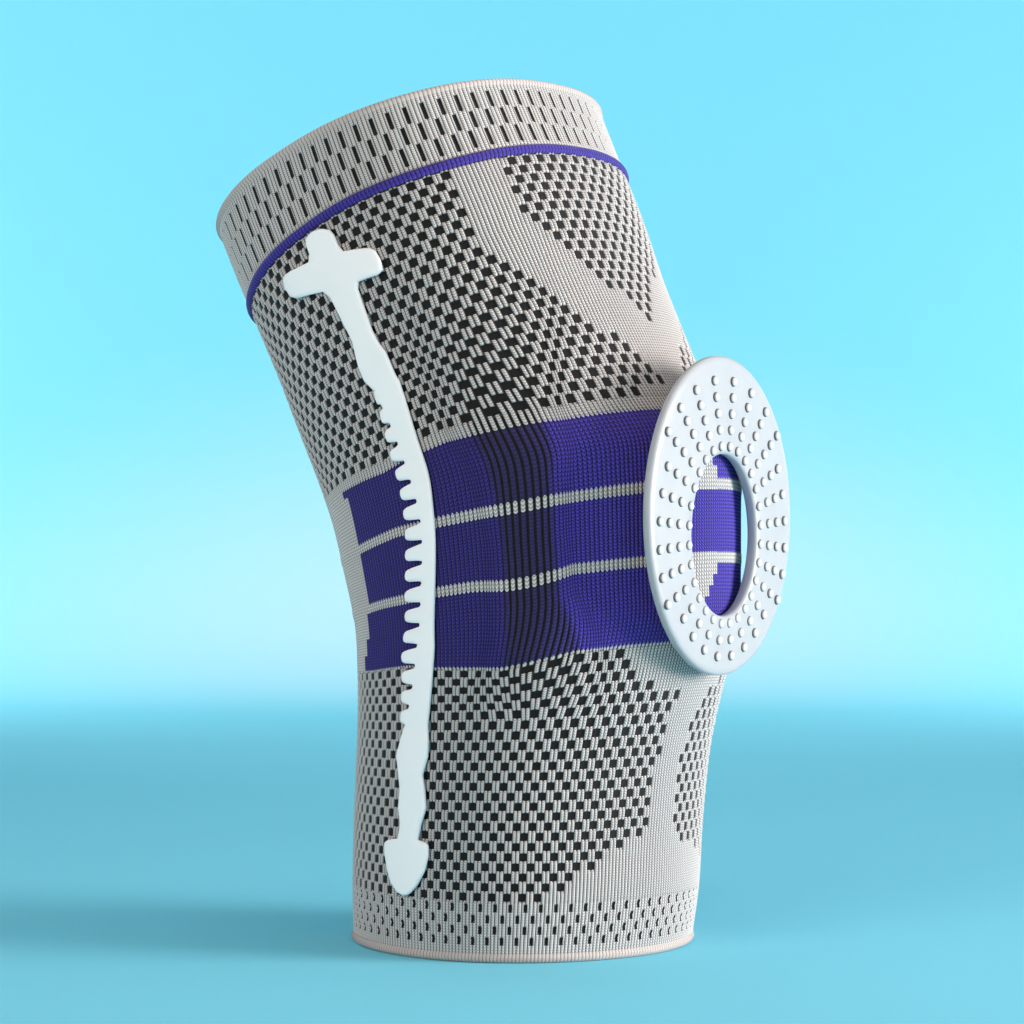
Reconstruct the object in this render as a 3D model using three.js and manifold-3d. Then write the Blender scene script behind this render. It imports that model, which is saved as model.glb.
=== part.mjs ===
// A knee sleeve in its worn shape, standing on its lower rim: a knit tube bent back at the knee,
// a cuff at each end, a violet welt, a silicone ring round the kneecap and a stay on each side.
// Millimetres, +Z up, the kneecap faces -Y, the stays are at -X and +X.

import * as THREE from 'three';
import { mergeVertices } from 'three/addons/utils/BufferGeometryUtils.js';
import Module from 'manifold-3d';

const wasm = await Module();
wasm.setup();

const clearance = 0.3;          // left between pieces that touch

// The tube

const sleeve_length = 276.8;    // along the middle of the leg
const thigh_radius = 67.8;      // half the width across the upper rim
const knee_bend = 24.6;         // degrees that the thigh leans back
const knit_thickness = 2.4;
const cuff_thickness = 2.8;
const sides_round = 48;

// Sections from the lower rim up. up is a share of sleeve_length; side, front and back are
// half measures as shares of thigh_radius; lean is the leg's own direction and tilt the
// section's, both as shares of knee_bend.
const sections = [
  { up: 0.000, side: 0.857, front: 0.786, back: 0.926, lean: 0.00, tilt: 0.00 },
  { up: 0.070, side: 0.872, front: 0.825, back: 0.923, lean: -0.05, tilt: 0.00 },
  { up: 0.150, side: 0.875, front: 0.836, back: 0.916, lean: -0.08, tilt: 0.03 },
  { up: 0.250, side: 0.878, front: 0.878, back: 0.900, lean: -0.08, tilt: 0.07 },
  { up: 0.340, side: 0.886, front: 1.000, back: 0.888, lean: 0.05, tilt: 0.21 },
  { up: 0.380, side: 0.889, front: 1.064, back: 0.884, lean: 0.11, tilt: 0.26 },
  { up: 0.420, side: 0.892, front: 1.076, back: 0.881, lean: 0.20, tilt: 0.31 },
  { up: 0.480, side: 0.898, front: 1.109, back: 0.891, lean: 0.34, tilt: 0.39 },
  { up: 0.530, side: 0.902, front: 1.153, back: 0.904, lean: 0.49, tilt: 0.48 },
  { up: 0.560, side: 0.903, front: 1.168, back: 0.913, lean: 0.57, tilt: 0.54 },
  { up: 0.600, side: 0.907, front: 1.085, back: 0.927, lean: 0.68, tilt: 0.65 },
  { up: 0.640, side: 0.914, front: 1.028, back: 0.940, lean: 0.78, tilt: 0.75 },
  { up: 0.740, side: 0.950, front: 0.968, back: 0.981, lean: 0.91, tilt: 0.91 },
  { up: 0.830, side: 0.978, front: 0.965, back: 0.993, lean: 0.99, tilt: 1.03 },
  { up: 0.905, side: 0.993, front: 0.954, back: 1.003, lean: 1.00, tilt: 1.06 },
  { up: 1.000, side: 1.000, front: 0.935, back: 1.027, lean: 0.87, tilt: 0.94 },
];
const squareness_low = 1.97;    // 2 is an ellipse
const squareness_high = 2.35;

// Soft dents in the knit: round is degrees from the front towards the side, up a share of
// sleeve_length, half_round degrees, half_up a share of sleeve_length, deep of knit_thickness.
const dents = [
  { round: 62, up: 0.47, half_round: 11, half_up: 0.16, deep: 0.75 },
  { round: 44, up: 0.44, half_round: 9, half_up: 0.11, deep: 0.35 },
  { round: 77, up: 0.50, half_round: 8, half_up: 0.10, deep: 0.30 },
  { round: 76, up: 0.72, half_round: 9, half_up: 0.11, deep: 0.35 },
];

// The cuffs and the welt

const upper_cuff_height = 28.6;
const lower_cuff_height = 19.5;
const welt_height = 3.1;
const welt_relief = 1.1;        // the roll stands this far out of the knit
const rim_height = 3.2;         // the plain rolled rim
const rim_relief = 0.7;

// The ring round the kneecap

const ring_width = 87;
const ring_height = 104.5;
const hole_width = 39;
const hole_height = 53;
const hole_drop = 6.3;          // the hole lies below the ring's own middle
const ring_edge_thickness = 3.2;
const ring_lip_thickness = 4.0;
const ring_up = 0.479;          // share of sleeve_length at the ring's middle
const nub_diameter = 3;
const nub_height = 1.4;
const nub_spacing = 5.4;
const nub_margin = 2.6;         // from the hole and from the outer edge
const ring_steps = 40;

// The side stays

const stay_length = 222.5;
const stay_thickness = 1.8;
const stay_reach = 24;          // from the stay's own line to the end of its rear arm
const head_skew = 0.24;         // the arms sit at a slant to the rows of the knit
const tooth_count = 17;
const tooth_tip = 1.7;          // length of a tooth's flat tip

// The stay's own line on the sleeve: up a share of sleeve_length, round degrees from the front.
const stay_line = [
  { up: 0.07, round: 99 },
  { up: 0.15, round: 98 },
  { up: 0.25, round: 96.5 },
  { up: 0.33, round: 92.5 },
  { up: 0.42, round: 89 },
  { up: 0.50, round: 86.5 },
  { up: 0.60, round: 87 },
  { up: 0.70, round: 88.5 },
  { up: 0.90, round: 89.5 },
];

// Its outline from the spear tip up: up is a share of stay_length, rear and front are shares
// of stay_reach on each side of the line.
const stay_tail = [
  { up: 0.000, rear: 0.03, front: 0.03 },
  { up: 0.004, rear: 0.13, front: 0.12 },
  { up: 0.017, rear: 0.27, front: 0.24 },
  { up: 0.038, rear: 0.37, front: 0.35 },
  { up: 0.060, rear: 0.44, front: 0.40 },
  { up: 0.076, rear: 0.46, front: 0.39 },
  { up: 0.081, rear: 0.38, front: 0.34 },
  { up: 0.084, rear: 0.18, front: 0.20 },
  { up: 0.106, rear: 0.15, front: 0.23 },
  { up: 0.131, rear: 0.21, front: 0.30 },
  { up: 0.157, rear: 0.20, front: 0.26 },
  { up: 0.180, rear: 0.25, front: 0.20 },
  { up: 0.207, rear: 0.32, front: 0.26 },
  { up: 0.232, rear: 0.27, front: 0.24 },
  { up: 0.250, rear: 0.23, front: 0.20 },
];
const stay_teeth = [
  { up: 0.261, tip: 0.32, root: 0.22, front: 0.19 },
  { up: 0.316, tip: 0.38, root: 0.18, front: 0.16 },
  { up: 0.415, tip: 0.46, root: 0.14, front: 0.13 },
  { up: 0.498, tip: 0.45, root: 0.12, front: 0.12 },
  { up: 0.559, tip: 0.39, root: 0.10, front: 0.15 },
  { up: 0.617, tip: 0.36, root: 0.13, front: 0.20 },
  { up: 0.677, tip: 0.31, root: 0.15, front: 0.20 },
  { up: 0.740, tip: 0.21, root: 0.17, front: 0.26 },
];
const stay_head = [
  { up: 0.755, rear: 0.17, front: 0.26 },
  { up: 0.777, rear: 0.26, front: 0.25 },
  { up: 0.799, rear: 0.26, front: 0.25 },
  { up: 0.817, rear: 0.23, front: 0.20 },
  { up: 0.836, rear: 0.20, front: 0.18 },
  { up: 0.868, rear: 0.27, front: 0.21 },
  { up: 0.893, rear: 0.32, front: 0.23 },
  { up: 0.902, rear: 0.48, front: 0.35 },
  { up: 0.906, rear: 0.84, front: 0.59 },
  { up: 0.914, rear: 0.97, front: 0.69 },
  { up: 0.928, rear: 1.00, front: 0.71 },
  { up: 0.940, rear: 0.93, front: 0.64 },
  { up: 0.945, rear: 0.72, front: 0.46 },
  { up: 0.949, rear: 0.40, front: 0.23 },
  { up: 0.960, rear: 0.32, front: 0.18 },
  { up: 0.980, rear: 0.31, front: 0.19 },
  { up: 0.991, rear: 0.27, front: 0.15 },
  { up: 0.998, rear: 0.17, front: 0.05 },
  { up: 1.000, rear: 0.10, front: 0.00 },
];

const colours = {
  grey_knit: { color: 0xb9b8b8, roughness: 0.92, metalness: 0 },
  violet_knit: { color: 0x3a2f94, roughness: 0.9, metalness: 0 },
  silicone: { color: 0xe9ebee, roughness: 0.42, metalness: 0 },
  white_plastic: { color: 0xeeeeef, roughness: 0.5, metalness: 0 },
};

const radians = THREE.MathUtils.degToRad;

// A table's column at one height: a smooth curve through its rows.
function along(table, column, up) {
  const last = table.length - 1;
  let k = 0;
  while (k < last - 1 && up > table[k + 1].up) k += 1;
  const slope = (i) => {
    const a = table[Math.max(i - 1, 0)];
    const b = table[Math.min(i + 1, last)];
    return (b[column] - a[column]) / (b.up - a.up);
  };
  const span = table[k + 1].up - table[k].up;
  const t = (up - table[k].up) / span;
  return (2 * t ** 3 - 3 * t ** 2 + 1) * table[k][column]
    + (t ** 3 - 2 * t ** 2 + t) * span * slope(k)
    + (3 * t ** 2 - 2 * t ** 3) * table[k + 1][column]
    + (t ** 3 - t ** 2) * span * slope(k + 1);
}

// The middle of the leg: small steps, each in the leg's direction at that height.
const leg_steps = 200;
const leg = [{ y: 0, z: 0 }];
for (let i = 0; i < leg_steps; i += 1) {
  const lean = radians(knee_bend * along(sections, 'lean', (i + 0.5) / leg_steps));
  const step = sleeve_length / leg_steps;
  leg.push({ y: leg[i].y + step * Math.sin(lean), z: leg[i].z + step * Math.cos(lean) });
}

function legAt(up) {
  const k = THREE.MathUtils.clamp(Math.floor(up * leg_steps), 0, leg_steps - 1);
  const t = up * leg_steps - k;
  return {
    y: THREE.MathUtils.lerp(leg[k].y, leg[k + 1].y, t),
    z: THREE.MathUtils.lerp(leg[k].z, leg[k + 1].z, t),
  };
}

function dentAt(round, up) {
  let deep = 0;
  for (const dent of dents) {
    const across = Math.abs(Math.abs(round) - dent.round) / dent.half_round;
    const high = Math.abs(up - dent.up) / dent.half_up;
    if (across < 1 && high < 1) {
      deep += dent.deep * knit_thickness * Math.cos(across * Math.PI / 2) ** 2
        * Math.cos(high * Math.PI / 2) ** 2;
    }
  }
  return deep;
}

// A point of the sleeve: round in degrees from the front towards -X, up a share of
// sleeve_length, out in millimetres from the knit's outer face.
function onSleeve(round, up, out) {
  const turn = radians(round);
  const power = THREE.MathUtils.lerp(squareness_low, squareness_high, up);
  const c = Math.cos(turn);
  const s = Math.sin(turn);
  const fit = (Math.abs(c) ** power + Math.abs(s) ** power) ** (-1 / power);
  const side = thigh_radius * along(sections, 'side', up) + out;
  const half = thigh_radius * along(sections, c > 0 ? 'front' : 'back', up) + out;
  const tilt = radians(knee_bend * along(sections, 'tilt', up));
  const middle = legAt(up);
  const deep = half * c * fit;
  return new THREE.Vector3(
    -side * s * fit,
    middle.y - deep * Math.cos(tilt),
    middle.z + deep * Math.sin(tilt),
  );
}

// Grid of rings of points, closed both ways: ring[i][j] runs round the sleeve and round the wall.
function closedGrid(rings) {
  const rows = rings.length;
  const columns = rings[0].length;
  const positions = rings.flat().flatMap((p) => [p.x, p.y, p.z]);
  const indices = [];
  for (let i = 0; i < rows; i += 1) {
    for (let j = 0; j < columns; j += 1) {
      const a = i * columns + j;
      const b = i * columns + (j + 1) % columns;
      const c = ((i + 1) % rows) * columns + j;
      const d = ((i + 1) % rows) * columns + (j + 1) % columns;
      indices.push(a, b, d, a, d, c);
    }
  }
  const geometry = new THREE.BufferGeometry();
  geometry.setAttribute('position', new THREE.Float32BufferAttribute(positions, 3));
  geometry.setIndex(indices);
  return geometry;
}

// A tube of the sleeve from a wall outline: pairs of height in millimetres above the lower
// rim and distance out of the knit's outer face, up the outside and down the inside.
function sleeveTube(outline) {
  const rings = [];
  for (let i = 0; i < sides_round; i += 1) {
    const round = 360 * i / sides_round;
    const signed = round > 180 ? round - 360 : round;
    rings.push(outline.map(([height, out]) => {
      const up = height / sleeve_length;
      return onSleeve(round, up, out - dentAt(signed, up));
    }));
  }
  return closedGrid(rings);
}

const welt_low = sleeve_length - upper_cuff_height - clearance - welt_height;
const body_low = lower_cuff_height + clearance;
const body_high = welt_low - clearance;

// Knit body: rows closer together where the knee bends.
const body_rows = [0, 0.10, 0.20, 0.29, 0.37, 0.42, 0.47, 0.53, 0.585, 0.63, 0.69, 0.76, 0.83, 0.91, 1];
const body_heights = body_rows.map((share) => THREE.MathUtils.lerp(body_low, body_high, share));
const knit_body = sleeveTube([
  ...body_heights.map((height) => [height, 0]),
  ...body_heights.map((height) => [height, -knit_thickness]).reverse(),
]);

// Lower cuff: stands on the flat foot of its rolled rim.
const lower_cuff = sleeveTube([
  [0, -0.3 * cuff_thickness],
  [0.3 * rim_height, 0.8 * rim_relief],
  [0.7 * rim_height, rim_relief],
  [rim_height, 0],
  [lower_cuff_height, 0],
  [lower_cuff_height, -cuff_thickness],
  [0.3 * rim_height, -cuff_thickness],
  [0, -0.8 * cuff_thickness],
]);

const cuff_low = sleeve_length - upper_cuff_height;
const upper_cuff = sleeveTube([
  [cuff_low, 0],
  [sleeve_length - rim_height, 0],
  [sleeve_length - 0.7 * rim_height, rim_relief],
  [sleeve_length - 0.25 * rim_height, 0.8 * rim_relief],
  [sleeve_length, -0.3 * cuff_thickness],
  [sleeve_length, -0.8 * cuff_thickness],
  [sleeve_length - 0.3 * rim_height, -cuff_thickness],
  [cuff_low, -cuff_thickness],
]);

const violet_welt = sleeveTube([
  [welt_low, 0.3 * welt_relief],
  [welt_low + 0.3 * welt_height, welt_relief],
  [welt_low + 0.7 * welt_height, welt_relief],
  [welt_low + welt_height, 0.3 * welt_relief],
  [welt_low + welt_height, -knit_thickness],
  [welt_low, -knit_thickness],
]);

// The ring lies in an upright plane just clear of the most forward point behind it.
const ring_middle = onSleeve(0, ring_up, 0).z;
let ring_back = 0;
for (let up = 0.2; up < 0.8; up += 0.005) {
  ring_back = Math.min(ring_back, onSleeve(0, up, 0).y);
}
ring_back -= clearance;

// Wall of the ring from the hole (0) to the outer edge (1), with its height over the back.
const ring_wall = [
  { across: 0.03, high: 0 },
  { across: 0, high: 0.25 * ring_lip_thickness },
  { across: 0, high: 0.75 * ring_lip_thickness },
  { across: 0.05, high: ring_lip_thickness },
  { across: 0.15, high: ring_lip_thickness },
  { across: 0.94, high: ring_edge_thickness },
  { across: 1, high: 0.7 * ring_edge_thickness },
  { across: 1, high: 0.25 * ring_edge_thickness },
  { across: 0.97, high: 0 },
];

function ringFace(across) {
  const share = (across - 0.15) / (0.94 - 0.15);
  const height = THREE.MathUtils.lerp(ring_lip_thickness, ring_edge_thickness, share);
  return across < 0.15 ? ring_lip_thickness : height;
}

function onRing(x, z, high) {
  return new THREE.Vector3(x, ring_back - high, ring_middle + z);
}

const ring_rings = [];
for (let i = 0; i < ring_steps; i += 1) {
  const turn = 2 * Math.PI * i / ring_steps;
  const inner = new THREE.Vector2(hole_width / 2 * Math.cos(turn), hole_height / 2 * Math.sin(turn) - hole_drop);
  const outer = new THREE.Vector2(ring_width / 2 * Math.cos(turn), ring_height / 2 * Math.sin(turn));
  ring_rings.push(ring_wall.map(({ across, high }) => {
    const p = inner.clone().lerp(outer, across);
    return onRing(p.x, p.y, high);
  }));
}

// Nubs stand in spokes square to the hole's edge, as far out as the ring has room for them.
const nub_points = [];
const hole_girth = Math.PI * (hole_width + hole_height) / 2;
const spokes = 4 * Math.round(hole_girth / nub_spacing / 4);
for (let i = 0; i < spokes; i += 1) {
  const turn = 2 * Math.PI * (i + 0.5) / spokes;
  const edge = new THREE.Vector2(hole_width / 2 * Math.cos(turn), hole_height / 2 * Math.sin(turn));
  const out = new THREE.Vector2(edge.x / hole_width ** 2, edge.y / hole_height ** 2).normalize();
  for (let step = nub_margin; step < ring_height; step += nub_spacing) {
    const p = edge.clone().addScaledVector(out, step);
    p.y -= hole_drop;
    const inside = (p.x / (ring_width / 2 - nub_margin)) ** 2 + (p.y / (ring_height / 2 - nub_margin)) ** 2;
    if (inside > 1) break;
    const reach = Math.sqrt((p.x / (ring_width / 2)) ** 2 + (p.y / (ring_height / 2)) ** 2);
    nub_points.push({ x: p.x, z: p.y, high: ringFace(Math.min(reach, 0.94)) });
  }
}

// One nub: a low five-sided dome whose foot is sunk in the ring's face.
function nubGeometry({ x, z, high }) {
  const foot = 0.25 * ring_edge_thickness;
  const nub = new THREE.CylinderGeometry(0.55 * nub_diameter, 0.25 * nub_diameter, nub_height + foot, 5, 1);
  const middle = onRing(x, z, high + (nub_height - foot) / 2);
  nub.translate(middle.x, middle.y, middle.z);
  nub.deleteAttribute('normal');
  nub.deleteAttribute('uv');
  return nub;
}

function toSolid(geometry) {
  const merged = mergeVertices(geometry, 1e-4);
  return new wasm.Manifold(new wasm.Mesh({
    numProp: 3,
    vertProperties: new Float32Array(merged.attributes.position.array),
    triVerts: new Uint32Array(merged.index.array),
  }));
}

function fromSolid(solid) {
  const mesh = solid.getMesh();
  const geometry = new THREE.BufferGeometry();
  geometry.setAttribute('position', new THREE.BufferAttribute(new Float32Array(mesh.vertProperties), 3));
  geometry.setIndex(Array.from(mesh.triVerts));
  return geometry;
}

let ring_solid = toSolid(closedGrid(ring_rings));
for (const nub of nub_points) {
  ring_solid = ring_solid.add(toSolid(nubGeometry(nub)));
}
const patella_ring = fromSolid(ring_solid);

// The stay's rows from tip to head, with the teeth between the two tables.
const stay_rows = [...stay_tail];
const tooth_first = stay_teeth[0].up;
const tooth_pitch = (stay_teeth.at(-1).up - tooth_first) / (tooth_count - 1);
for (let k = 0; k < tooth_count; k += 1) {
  const up = tooth_first + k * tooth_pitch;
  const half_tip = tooth_tip / stay_length / 2;
  for (const tip_up of [up - half_tip, up + half_tip]) {
    stay_rows.push({
      up: tip_up,
      rear: along(stay_teeth, 'tip', up),
      front: along(stay_teeth, 'front', up),
    });
  }
  if (k < tooth_count - 1) {
    const root_up = up + tooth_pitch / 2;
    stay_rows.push({
      up: root_up,
      rear: along(stay_teeth, 'root', root_up),
      front: along(stay_teeth, 'front', root_up),
    });
  }
}
stay_rows.push(...stay_head);

// The head ends just below the welt, at the raised rear corner of its upright.
const head_rise = head_skew * stay_reach * stay_head.at(-3).rear;
const stay_foot = welt_low - clearance - head_rise - stay_length;

// A point of the stay: across in millimetres from its line, positive to the front.
function onStay(up, across, out) {
  const skew = head_skew * THREE.MathUtils.smoothstep(up, 0.85, 0.92);
  const share = (stay_foot + stay_length * up - skew * across) / sleeve_length;
  const round = along(stay_line, 'round', share);
  const degree = onSleeve(round + 0.5, share, out).distanceTo(onSleeve(round - 0.5, share, out));
  return onSleeve(round - across / degree, share, out);
}

// Each row has four points on the outer face and four on the inner one.
function stayGeometry(side) {
  const near = clearance + 0.1;
  const shares = [0, 0.36, 0.68, 1];
  const positions = [];
  const indices = [];
  for (const row of stay_rows) {
    const at = (share) => stay_reach * THREE.MathUtils.lerp(-row.rear, row.front, share);
    const loop = [
      ...shares.map((share) => onStay(row.up, at(share), near + stay_thickness)),
      ...[...shares].reverse().map((share) => onStay(row.up, at(share), near)),
    ];
    for (const p of loop) positions.push(p.x * side, p.y, p.z);
  }
  const ring = 2 * shares.length;
  const face = (a, b, c) => (side > 0 ? indices.push(a, b, c) : indices.push(a, c, b));
  for (let i = 0; i < stay_rows.length - 1; i += 1) {
    for (let j = 0; j < ring; j += 1) {
      const a = i * ring + j;
      const b = i * ring + (j + 1) % ring;
      face(a, b, b + ring);
      face(a, b + ring, a + ring);
    }
  }
  const last = (stay_rows.length - 1) * ring;
  for (let j = 0; j < shares.length - 1; j += 1) {
    const a = j;
    const b = j + 1;
    const c = ring - 2 - j;
    const d = ring - 1 - j;
    face(a, d, c);
    face(a, c, b);
    face(last + a, last + c, last + d);
    face(last + a, last + b, last + c);
  }
  const geometry = new THREE.BufferGeometry();
  geometry.setAttribute('position', new THREE.Float32BufferAttribute(positions, 3));
  geometry.setIndex(indices);
  return geometry;
}

function piece(name, geometry, colour) {
  geometry.computeVertexNormals();
  const mesh = new THREE.Mesh(geometry, new THREE.MeshStandardMaterial(colours[colour]));
  mesh.name = name;
  return mesh;
}

const model = new THREE.Group();
model.add(
  piece('upper_cuff', upper_cuff, 'grey_knit'),
  piece('violet_welt', violet_welt, 'violet_knit'),
  piece('knit_body', knit_body, 'grey_knit'),
  piece('lower_cuff', lower_cuff, 'grey_knit'),
  piece('patella_ring', patella_ring, 'silicone'),
  piece('side_stay_left', stayGeometry(1), 'white_plastic'),
  piece('side_stay_right', stayGeometry(-1), 'white_plastic'),
);

// The origin is below the middle of the whole part, on the plane that it stands on.
const box = new THREE.Box3().setFromObject(model);
const middle = box.getCenter(new THREE.Vector3());
model.position.set(-middle.x, -middle.y, -box.min.z);

const knee_sleeve = new THREE.Group();
knee_sleeve.add(model);

export default knee_sleeve;
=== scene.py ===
# %% [markdown]
# # A knitted knee sleeve
# The sleeve is one bent tube of elastic knit with a cuff at each end, a violet welt under the
# upper cuff, a silicone ring in front of the kneecap and a stiff white stay on each side.
# The solids of the part are loaded first. They give the true sizes, and every piece made
# below lies where its solid lies.

# %% The fixed frame
import math

import bpy
import numpy as np
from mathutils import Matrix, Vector


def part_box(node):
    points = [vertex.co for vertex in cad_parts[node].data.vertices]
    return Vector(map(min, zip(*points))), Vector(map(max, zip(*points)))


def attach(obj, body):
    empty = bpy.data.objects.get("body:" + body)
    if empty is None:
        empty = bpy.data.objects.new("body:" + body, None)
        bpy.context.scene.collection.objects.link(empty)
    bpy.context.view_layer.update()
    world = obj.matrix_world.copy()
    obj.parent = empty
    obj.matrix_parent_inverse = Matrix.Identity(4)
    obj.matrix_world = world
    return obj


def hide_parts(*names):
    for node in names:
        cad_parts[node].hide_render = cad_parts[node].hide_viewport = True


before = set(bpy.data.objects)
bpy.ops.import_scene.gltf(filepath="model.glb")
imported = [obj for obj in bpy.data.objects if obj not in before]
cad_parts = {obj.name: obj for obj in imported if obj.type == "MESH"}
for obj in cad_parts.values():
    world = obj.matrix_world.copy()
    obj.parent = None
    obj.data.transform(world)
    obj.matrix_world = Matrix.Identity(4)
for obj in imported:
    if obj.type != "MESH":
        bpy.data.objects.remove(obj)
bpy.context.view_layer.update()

print("solids:", sorted(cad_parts))

# %% [markdown]
# ## The camera
# The picture is taken from knee height with a long lens, from the left front of the sleeve.
# A long lens keeps the two cuffs at nearly the same scale. The camera is level, so it looks
# straight across the floor and a little up into the upper rim.

# %% Camera
MM = 0.001
VIEW_AZIMUTH = math.radians(-54)
VIEW_DISTANCE = 1066 * MM
VIEW_TARGET = Vector((0, -9.5, 146.1)) * MM

view_back = Vector((math.sin(VIEW_AZIMUTH), -math.cos(VIEW_AZIMUTH), 0))
camera_data = bpy.data.cameras.new("camera")
camera_data.lens = 109.2
camera_data.sensor_width = 36
camera = bpy.data.objects.new("camera", camera_data)
camera.location = VIEW_TARGET + view_back * VIEW_DISTANCE
camera.rotation_euler = view_back.to_track_quat("Z", "Y").to_euler()
bpy.context.scene.collection.objects.link(camera)
bpy.context.scene.camera = camera
print("camera at", [round(v, 3) for v in camera.location])

# %% [markdown]
# ## The shape of the leg
# The tube follows a bent leg. Its sections are given at sixteen heights, as shares of the
# thigh's radius, and a smooth curve runs through each column. These are the same values as
# the solids have, so the knit lies exactly on them.

# %% Sections of the tube
SLEEVE_LENGTH = 276.8
THIGH_RADIUS = 67.8
KNEE_BEND = 24.6
KNIT = 2.4
CUFF = 2.8
SQUARENESS = (1.97, 2.35)
UP, SIDE, FRONT, BACK, LEAN, TILT = range(6)
SECTIONS = np.array([
    (0.000, 0.857, 0.786, 0.926, 0.00, 0.00),
    (0.070, 0.872, 0.825, 0.923, -0.05, 0.00),
    (0.150, 0.875, 0.836, 0.916, -0.08, 0.03),
    (0.250, 0.878, 0.878, 0.900, -0.08, 0.07),
    (0.340, 0.886, 1.000, 0.888, 0.05, 0.21),
    (0.380, 0.889, 1.064, 0.884, 0.11, 0.26),
    (0.420, 0.892, 1.076, 0.881, 0.20, 0.31),
    (0.480, 0.898, 1.109, 0.891, 0.34, 0.39),
    (0.530, 0.902, 1.153, 0.904, 0.49, 0.48),
    (0.560, 0.903, 1.168, 0.913, 0.57, 0.54),
    (0.600, 0.907, 1.085, 0.927, 0.68, 0.65),
    (0.640, 0.914, 1.028, 0.940, 0.78, 0.75),
    (0.740, 0.950, 0.968, 0.981, 0.91, 0.91),
    (0.830, 0.978, 0.965, 0.993, 0.99, 1.03),
    (0.905, 0.993, 0.954, 1.003, 1.00, 1.06),
    (1.000, 1.000, 0.935, 1.027, 0.87, 0.94),
])
# The knit creeps up the back of the thigh and stands off the back of the knee, in millimetres.
KNIT_RISE = 3.4
KNEE_SLACK = 2.6
# round, up, half round, half up, depth as a share of the knit's thickness
DENTS = [(62, 0.47, 11, 0.16, 0.75), (44, 0.44, 9, 0.11, 0.35),
         (77, 0.50, 8, 0.10, 0.30), (76, 0.72, 9, 0.11, 0.35)]


def along(table, column, up):
    """The table's column at each height, on a smooth curve through its rows."""
    x = table[:, UP]
    y = table[:, column]
    slope = np.empty(len(x))
    slope[1:-1] = (y[2:] - y[:-2]) / (x[2:] - x[:-2])
    slope[0] = (y[1] - y[0]) / (x[1] - x[0])
    slope[-1] = (y[-1] - y[-2]) / (x[-1] - x[-2])
    k = np.clip(np.searchsorted(x, up, side="right") - 1, 0, len(x) - 2)
    span = x[k + 1] - x[k]
    t = (up - x[k]) / span
    return ((2 * t**3 - 3 * t**2 + 1) * y[k] + (t**3 - 2 * t**2 + t) * span * slope[k]
            + (3 * t**2 - 2 * t**3) * y[k + 1] + (t**3 - t**2) * span * slope[k + 1])


LEG_STEPS = 200
lean = np.radians(KNEE_BEND * along(SECTIONS, LEAN, (np.arange(LEG_STEPS) + 0.5) / LEG_STEPS))
leg_y = np.concatenate([[0], np.cumsum(np.sin(lean))]) * SLEEVE_LENGTH / LEG_STEPS
leg_z = np.concatenate([[0], np.cumsum(np.cos(lean))]) * SLEEVE_LENGTH / LEG_STEPS
leg_up = np.linspace(0, 1, LEG_STEPS + 1)
ORIGIN_SHIFT = -17.80


def ease(value, low, high):
    """0 below low, 1 above high and a smooth step between."""
    t = np.clip((value - low) / (high - low), 0, 1)
    return t * t * (3 - 2 * t)


def on_sleeve(degrees, up, out):
    """Points of the sleeve in metres: degrees from the front towards -X, out in millimetres."""
    crept = ease(np.abs(degrees), 38, 90) * (1 - 0.8 * ease(np.abs(degrees), 100, 145))
    crept = crept * ease(up, 0.70, 0.88) * (1 - 0.5 * ease(up, 0.92, 1.0))
    up = up + KNIT_RISE / SLEEVE_LENGTH * crept
    power = SQUARENESS[0] + (SQUARENESS[1] - SQUARENESS[0]) * up
    turn = np.radians(degrees)
    c = np.cos(turn)
    s = np.sin(turn)
    fit = (np.abs(c)**power + np.abs(s)**power)**(-1 / power)
    side = THIGH_RADIUS * along(SECTIONS, SIDE, up) + out
    front = THIGH_RADIUS * along(SECTIONS, FRONT, up)
    slack = KNEE_SLACK * ease(up, 0.38, 0.50) * ease(-up, -0.80, -0.62)
    back = THIGH_RADIUS * along(SECTIONS, BACK, up) + slack
    deep = (np.where(c > 0, front, back) + out) * c * fit
    tilt = np.radians(KNEE_BEND * along(SECTIONS, TILT, up))
    y = np.interp(up, leg_up, leg_y) - deep * np.cos(tilt) + ORIGIN_SHIFT
    z = np.interp(up, leg_up, leg_z) + deep * np.sin(tilt)
    beyond = np.maximum(up - 1, 0) * SLEEVE_LENGTH
    y = y + beyond * math.sin(lean[-1])
    z = z + beyond * math.cos(lean[-1]) + np.minimum(up, 0) * SLEEVE_LENGTH
    return np.stack([-side * s * fit, y, z], -1) * MM


def dent_at(degrees, up):
    """How deep the soft dents are, in millimetres."""
    deep = 0
    for place, height, half_round, half_up, share in DENTS:
        across = np.clip(np.abs(np.abs(degrees) - place) / half_round, 0, 1)
        high = np.clip(np.abs(up - height) / half_up, 0, 1)
        deep = deep + share * KNIT * np.cos(across * np.pi / 2)**2 * np.cos(high * np.pi / 2)**2
    return deep


check = on_sleeve(np.array([0.0, 90.0, 180.0]), np.array([1.0, 1.0, 1.0]), 0)
print("upper rim, front, side and back:", check.round(4).tolist())

# %% [markdown]
# ## The knit's own grid
# Knit has wales, the columns of loops that run up the leg, and courses, the rows round it.
# This sleeve has 288 wales. The pattern repeats over cells of two wales, and each cell is one
# row high, so a place on the cloth is best given as a wale and a row. The rows are not quite
# equal: they are spaced so that the violet bands and the meshes start on whole rows.

# %% Wales, rows and the pinched fan
WALES = 288
SAMPLES = 4
ROW_HEIGHTS = np.array([  # millimetres above the lower rim, row
    (0.0, -6.1), (19.8, 0), (97.2, 24), (118.25, 31), (121.55, 32), (139.55, 38), (142.85, 39),
    (163.0, 45), (166.1, 46), (244.5, 70), (276.8, 79.9),
])
BODY_LOW, KNEE_ROW, THIGH_ROW, BODY_TOP = 0, 24, 46, 70
LINE_ROWS = (31, 38)
VIOLET_ROWS = (24, 45)

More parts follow.
